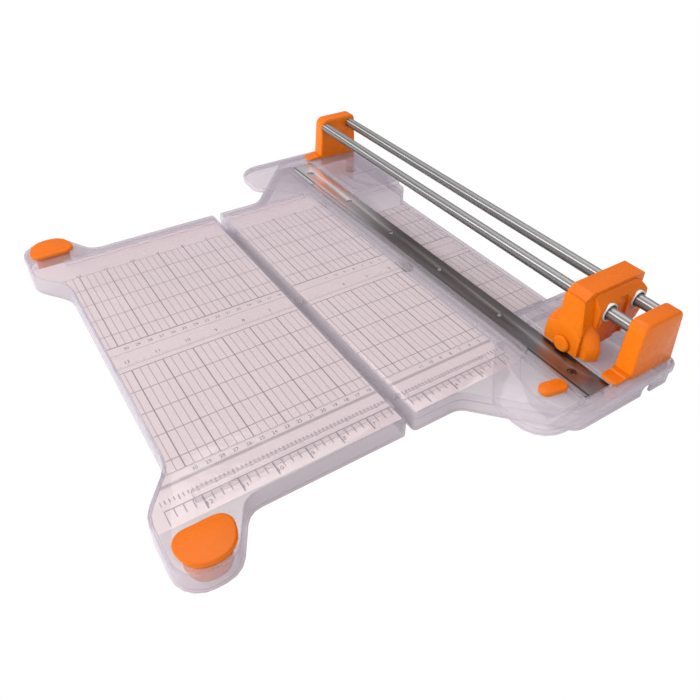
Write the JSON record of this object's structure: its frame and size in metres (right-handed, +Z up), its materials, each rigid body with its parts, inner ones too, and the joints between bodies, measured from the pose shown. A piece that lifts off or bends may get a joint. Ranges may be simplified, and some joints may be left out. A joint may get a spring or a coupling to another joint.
{
  "type": "rotary paper trimmer",
  "caption": "Clear desktop paper trimmer with printed grid sheets, twin guide rails, a sliding orange rotary blade carriage and a hinged leaf that folds underneath.",
  "frame": {"origin": "on the table under the middle of the open trimmer's bounding box", "axes": "+Z up, +Y along the cut from the near end to the far end, +X across the cut from the leaf towards the rails"},
  "size_m": [0.4078, 0.4966, 0.0797],
  "materials": {
    "clear": "clear polished polycarbonate with a lavender tint",
    "print": "satin printed film",
    "orange": "glossy moulded",
    "bar": "satin, ground along its length",
    "chrome": "polished",
    "steel": "bright zinc or ground steel",
    "bushing": "self-lubricating nylon, satin",
    "rubber": "matt"
  },
  "bodies": {
    "base": {"base_shell": "clear", "base_grid_sheet": "print", "offcut_grid_sheet": "print", "top_frame": "clear", "cutting_bar": "bar", "bar_end_screw_near": "steel", "bar_end_screw_far": "steel", "bar_screw_1": "steel", "bar_screw_2": "steel", "bar_screw_3": "steel", "bar_screw_4": "steel", "near_rail_post": "orange", "far_rail_post": "orange", "near_post_screw_left": "steel", "near_post_screw_right": "steel", "far_post_screw_left": "steel", "far_post_screw_right": "steel", "left_guide_rail": "chrome", "right_guide_rail": "chrome", "hinge_pin_near": "steel", "hinge_pin_middle": "steel", "hinge_pin_far": "steel", "base_foot_near_left": "rubber", "base_foot_far_left": "rubber", "base_foot_middle": "rubber", "base_foot_near_right": "rubber", "base_foot_far_right": "rubber"},
    "leaf": {"leaf_shell": "clear", "leaf_grid_sheet": "print", "near_corner_pad": "orange", "far_corner_pad": "orange", "leaf_foot_near": "rubber", "leaf_foot_far": "rubber"},
    "carriage": {"carriage_housing": "orange", "blade_cover": "orange", "blade_cap": "orange", "left_bushing_near": "bushing", "left_bushing_far": "bushing", "right_bushing_near": "bushing", "right_bushing_far": "bushing", "blade_axle": "steel", "axle_nut": "steel", "blade_spring_washer": "steel"},
    "blade": {"rotary_blade": "steel", "blade_hub": "bushing"},
    "latch": {"latch_button": "orange"}
  },
  "joints": [
    {"name": "leaf_fold", "type": "hinge", "parent": "base", "child": "leaf", "pos_m": [-0.0122, -0.0057, 0.00285], "axis": [0, -1, 0], "range_deg": [0, 180]},
    {"name": "carriage_slide", "type": "slide", "parent": "base", "child": "carriage", "axis": [0, 1, 0], "range_m": [-0.012, 0.383]},
    {"name": "blade_spin", "type": "hinge", "parent": "carriage", "child": "blade", "pos_m": [0.1356, -0.1859, 0.0295], "axis": [-1, 0, 0], "continuous": true},
    {"name": "latch_slide", "type": "slide", "parent": "base", "child": "latch", "axis": [0.9781, -0.2079, 0], "range_m": [-0.004, 0]}
  ]
}
